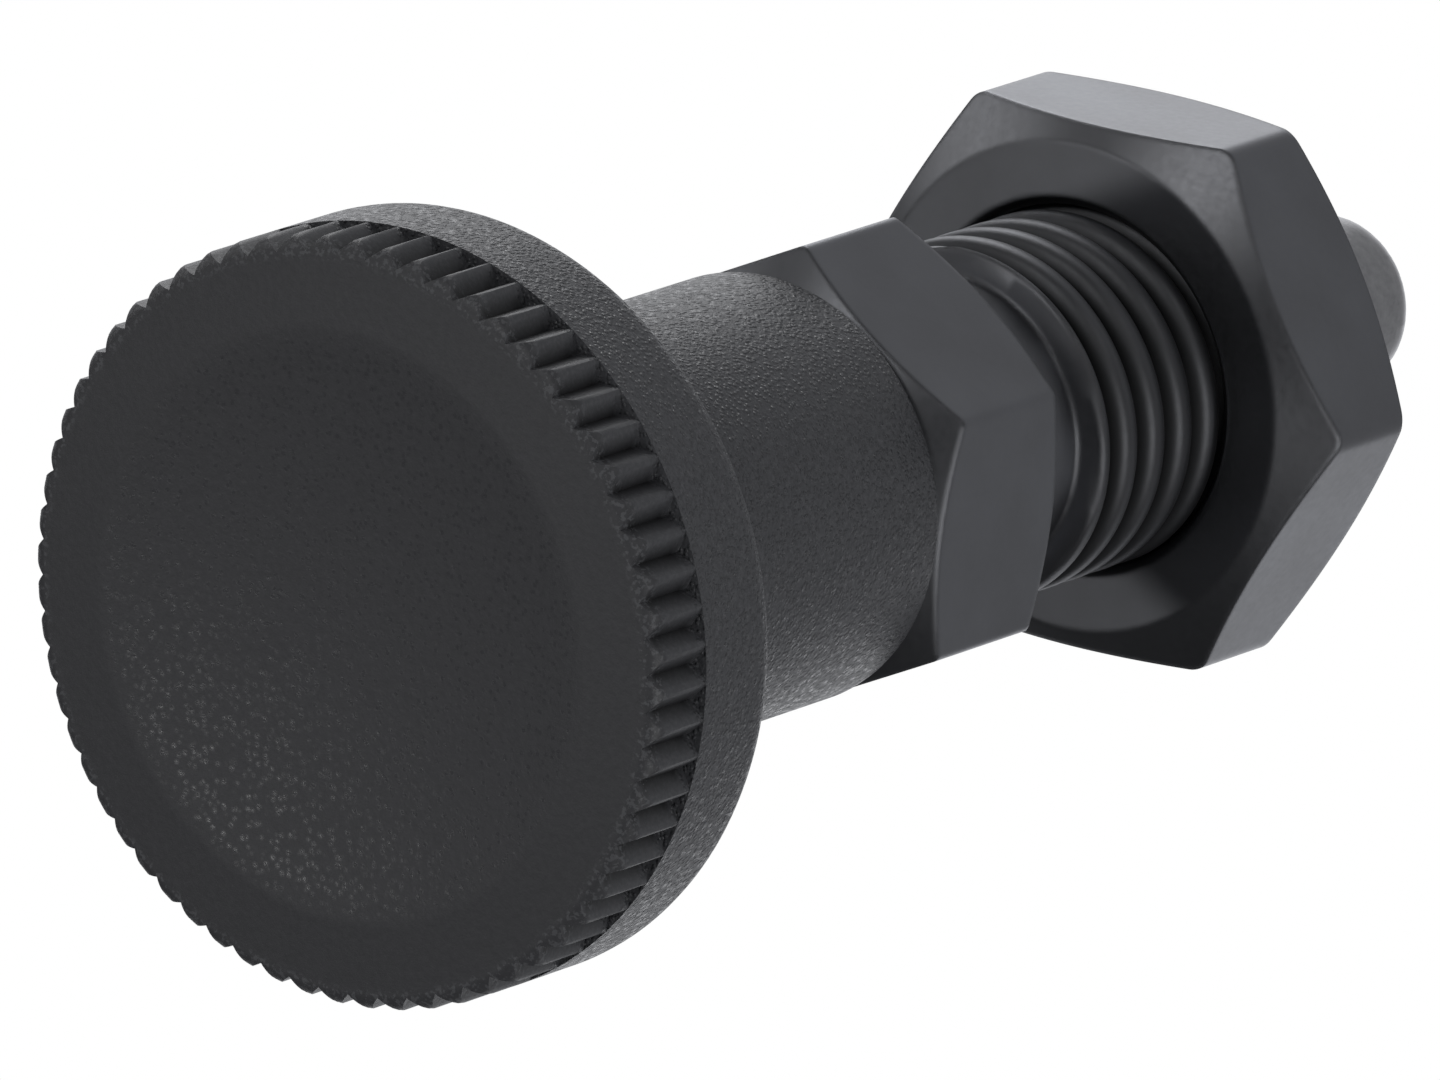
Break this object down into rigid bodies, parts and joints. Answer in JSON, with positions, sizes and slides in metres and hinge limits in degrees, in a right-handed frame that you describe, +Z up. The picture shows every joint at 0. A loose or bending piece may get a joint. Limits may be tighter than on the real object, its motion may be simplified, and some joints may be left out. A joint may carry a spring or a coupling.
{
  "type": "indexing plunger",
  "caption": "Spring-loaded locking pin in a fine-threaded guide with hexagonal collar and thin lock nut, pulled back by a round toothed plastic knob.",
  "frame": {"origin": "on the plunger's axis, in the collar's face toward the lock nut", "axes": "+Y along the axis from the knob toward the pin's tip, +Z up through a corner of the collar, +X to the side"},
  "size_m": [0.025, 0.0549, 0.025],
  "materials": {
    "black_plastic": "fine grained moulding",
    "blackened_steel": "blackened, turned",
    "ground_steel": "ground",
    "spring_steel": "drawn wire"
  },
  "bodies": {
    "guide": {"threaded_guide": "blackened_steel"},
    "turning_spring": {"spring": "spring_steel"},
    "plunger": {"plunger_pin": "ground_steel", "knob": "black_plastic"},
    "nut": {"lock_nut": "blackened_steel"}
  },
  "joints": [
    {"name": "knob_turn", "type": "hinge", "parent": "guide", "child": "turning_spring", "pos_m": [0, 0, 0], "axis": [0, 1, 0], "continuous": true},
    {"name": "pull", "type": "slide", "parent": "turning_spring", "child": "plunger", "axis": [0, -1, 0], "range_m": [0, 0.006], "stiffness_N_per_m": 1450, "springref_m": -0.0045, "deforming": ["spring"]},
    {"name": "nut_travel", "type": "slide", "parent": "guide", "child": "nut", "axis": [0, 1, 0], "range_m": [-0.0102, 0.0083]}
  ]
}
